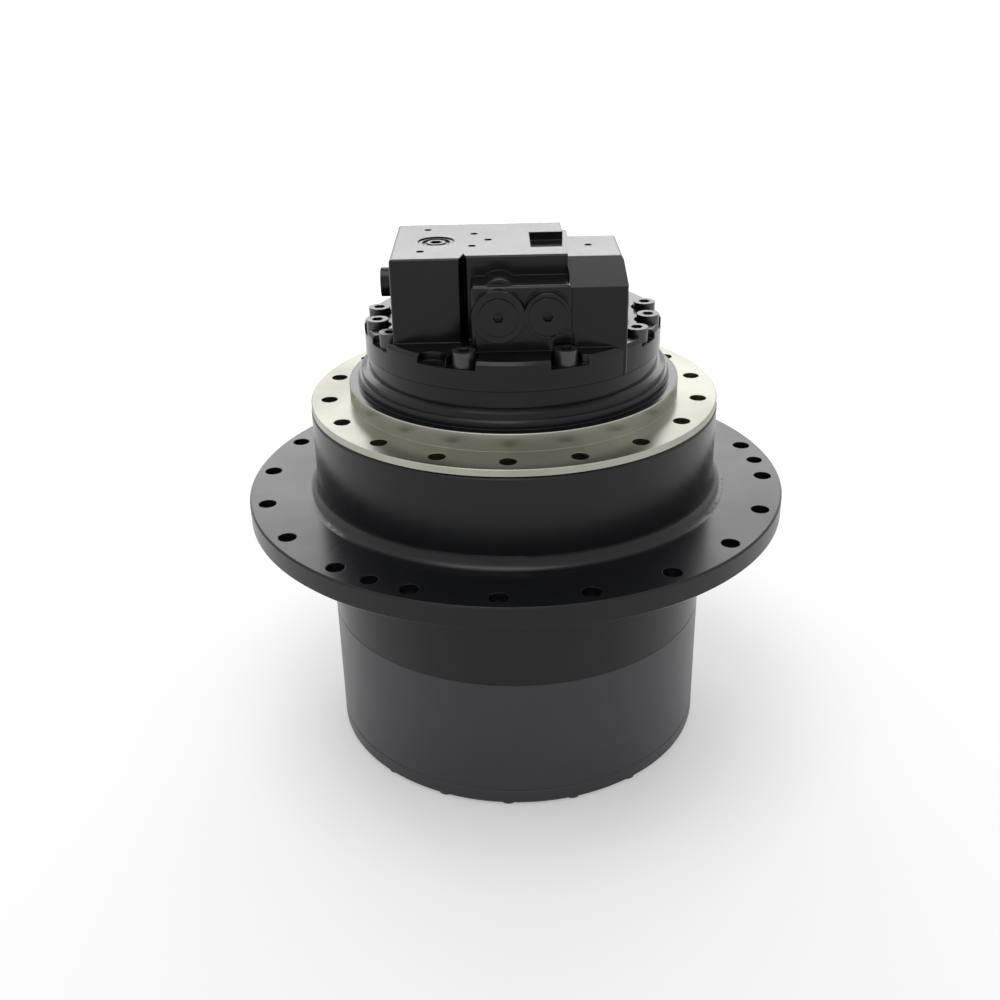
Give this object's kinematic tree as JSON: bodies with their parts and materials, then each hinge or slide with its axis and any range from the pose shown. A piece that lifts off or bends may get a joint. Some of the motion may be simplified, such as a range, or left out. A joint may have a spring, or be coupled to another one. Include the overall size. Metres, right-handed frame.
{
  "type": "excavator final drive",
  "caption": "Final drive for a tracked excavator: planetary gearbox with a sprocket flange and a built-in swash-plate piston motor with its valve head.",
  "frame": {"origin": "centre of the gear cover's outer face, on the gear axis", "axes": "+Z along the gear axis from the gear cover to the motor head; -Y towards the relief valves; +Y out of the hose ports"},
  "size_m": [0.54, 0.5398, 0.52],
  "materials": {
    "bearing_steel": "ground and polished",
    "black_enamel": "glossy black enamel over rough casting",
    "bronze": "machined bronze",
    "casting": "bare machined casting",
    "friction": "sintered friction lining",
    "gear_steel": "ground tooth flanks",
    "oxide_steel": "black oxide, satin",
    "rubber": "smooth",
    "spring_steel": "oil-tempered wire",
    "turned_steel": "fine turning marks, light oil film"
  },
  "bodies": {
    "root": {"bearing_nut": "casting", "block_plugs": "oxide_steel", "brake_separator_plates": "gear_steel", "brake_springs": "spring_steel", "carrier_two": "casting", "carrier_two_screws": "oxide_steel", "counterbalance_springs": "spring_steel", "end_cover": "black_enamel", "end_cover_screws": "oxide_steel", "main_bearing_inner_races": "bearing_steel", "planet_pins_two": "gear_steel", "rear_shaft_bearing": "bearing_steel", "relief_springs": "spring_steel", "relief_valve_plugs": "oxide_steel", "seal_ring_fixed": "bearing_steel", "shaft_bearing_outer_race": "bearing_steel", "shaft_seal": "rubber", "spindle": "turned_steel", "spool_plugs": "oxide_steel", "swash_cradles": "casting", "toric_ring_fixed": "rubber", "two_speed_spring": "spring_steel", "valve_plate": "bronze"},
    "hub": {"hub": "black_enamel", "ring_gear": "black_enamel", "gear_cover": "black_enamel", "cover_screws": "oxide_steel", "main_bearing_outer_races": "bearing_steel", "seal_ring_moving": "bearing_steel", "toric_ring_moving": "rubber", "oil_plugs": "oxide_steel", "thrust_pad": "bronze"},
    "bearing_cage": {"main_bearing_balls": "bearing_steel", "main_bearing_cages": "bronze"},
    "carrier_one": {"carrier_one": "casting", "planet_pins_one": "gear_steel", "sun_gear_two": "gear_steel"},
    "motor": {"drive_shaft": "gear_steel", "motor_shaft": "gear_steel", "shaft_bearing_inner_set": "bearing_steel", "cylinder_block": "gear_steel", "pistons": "gear_steel", "block_spring": "spring_steel", "ball_guide": "gear_steel", "brake_friction_plates": "friction"},
    "retainer": {"retainer_plate": "gear_steel", "slippers": "bronze"},
    "planet_one_1": {"planet_one_1": "gear_steel"},
    "planet_one_2": {"planet_one_2": "gear_steel"},
    "planet_one_3": {"planet_one_3": "gear_steel"},
    "planet_two_1": {"planet_two_1": "gear_steel"},
    "planet_two_2": {"planet_two_2": "gear_steel"},
    "planet_two_3": {"planet_two_3": "gear_steel"},
    "planet_two_4": {"planet_two_4": "gear_steel"},
    "swash_plate": {"swash_plate": "gear_steel"},
    "servo_piston": {"servo_piston": "gear_steel"},
    "brake_piston": {"brake_piston": "casting"},
    "counterbalance_spool": {"counterbalance_spool": "gear_steel"},
    "two_speed_spool": {"two_speed_spool": "gear_steel"},
    "relief_poppets": {"relief_poppets": "gear_steel"}
  },
  "joints": [
    {"name": "hub_spin", "type": "hinge", "parent": "root", "child": "hub", "pos_m": [0, 0, 0], "axis": [0, 0, 1], "continuous": true},
    {"name": "cage_spin", "type": "hinge", "parent": "root", "child": "bearing_cage", "pos_m": [0, 0, 0], "axis": [0, 0, 1], "continuous": true},
    {"name": "carrier_one_spin", "type": "hinge", "parent": "root", "child": "carrier_one", "pos_m": [0, 0, 0], "axis": [0, 0, 1], "continuous": true},
    {"name": "planet_one_1_spin", "type": "hinge", "parent": "carrier_one", "child": "planet_one_1", "pos_m": [0.096, 0, 0.046], "axis": [0, 0, 1], "continuous": true},
    {"name": "planet_one_2_spin", "type": "hinge", "parent": "carrier_one", "child": "planet_one_2", "pos_m": [-0.048, 0.08314, 0.046], "axis": [0, 0, 1], "continuous": true},
    {"name": "planet_one_3_spin", "type": "hinge", "parent": "carrier_one", "child": "planet_one_3", "pos_m": [-0.048, -0.08314, 0.046], "axis": [0, 0, 1], "continuous": true},
    {"name": "planet_two_1_spin", "type": "hinge", "parent": "root", "child": "planet_two_1", "pos_m": [0.1, 0, 0.113], "axis": [0, 0, 1], "continuous": true},
    {"name": "planet_two_2_spin", "type": "hinge", "parent": "root", "child": "planet_two_2", "pos_m": [0, 0.1, 0.113], "axis": [0, 0, 1], "continuous": true},
    {"name": "planet_two_3_spin", "type": "hinge", "parent": "root", "child": "planet_two_3", "pos_m": [-0.1, 0, 0.113], "axis": [0, 0, 1], "continuous": true},
    {"name": "planet_two_4_spin", "type": "hinge", "parent": "root", "child": "planet_two_4", "pos_m": [0, -0.1, 0.113], "axis": [0, 0, 1], "continuous": true},
    {"name": "motor_spin", "type": "hinge", "parent": "root", "child": "motor", "pos_m": [0, 0, 0], "axis": [0, 0, 1], "continuous": true, "deforming": ["pistons"]},
    {"name": "swash_tilt", "type": "hinge", "parent": "root", "child": "swash_plate", "pos_m": [0, 0, 0.296], "axis": [1, 0, 0], "range_deg": [-7, 0]},
    {"name": "retainer_spin", "type": "hinge", "parent": "swash_plate", "child": "retainer", "pos_m": [0, 0, 0.296], "axis": [0, -0.2588, 0.9659], "continuous": true},
    {"name": "servo_slide", "type": "slide", "parent": "root", "child": "servo_piston", "axis": [0, 0, 1], "range_m": [0, 0.00865]},
    {"name": "brake_slide", "type": "slide", "parent": "root", "child": "brake_piston", "axis": [0, 0, 1], "range_m": [0, 0.002], "deforming": ["brake_springs"]},
    {"name": "counterbalance_slide", "type": "slide", "parent": "root", "child": "counterbalance_spool", "axis": [1, 0, 0], "range_m": [-0.008, 0.008], "deforming": ["counterbalance_springs"]},
    {"name": "two_speed_slide", "type": "slide", "parent": "root", "child": "two_speed_spool", "axis": [1, 0, 0], "range_m": [-0.006, 0], "deforming": ["two_speed_spring"]},
    {"name": "relief_slide", "type": "slide", "parent": "root", "child": "relief_poppets", "axis": [0, -1, 0], "range_m": [0, 0.003], "deforming": ["relief_springs"]}
  ],
  "couplings": [
    {"joint": "cage_spin", "follows": "hub_spin", "ratio": 0.54},
    {"joint": "carrier_one_spin", "follows": "hub_spin", "ratio": -4.5556},
    {"joint": "motor_spin", "follows": "hub_spin", "ratio": -37.095},
    {"joint": "planet_one_1_spin", "follows": "hub_spin", "ratio": 13.399},
    {"joint": "planet_one_2_spin", "follows": "hub_spin", "ratio": 13.399},
    {"joint": "planet_one_3_spin", "follows": "hub_spin", "ratio": 13.399},
    {"joint": "planet_two_1_spin", "follows": "hub_spin", "ratio": 2.5625},
    {"joint": "planet_two_2_spin", "follows": "hub_spin", "ratio": 2.5625},
    {"joint": "planet_two_3_spin", "follows": "hub_spin", "ratio": 2.5625},
    {"joint": "planet_two_4_spin", "follows": "hub_spin", "ratio": 2.5625},
    {"joint": "retainer_spin", "follows": "hub_spin", "ratio": -37.095},
    {"joint": "servo_slide", "follows": "swash_tilt", "m_per_rad": -0.0708}
  ]
}
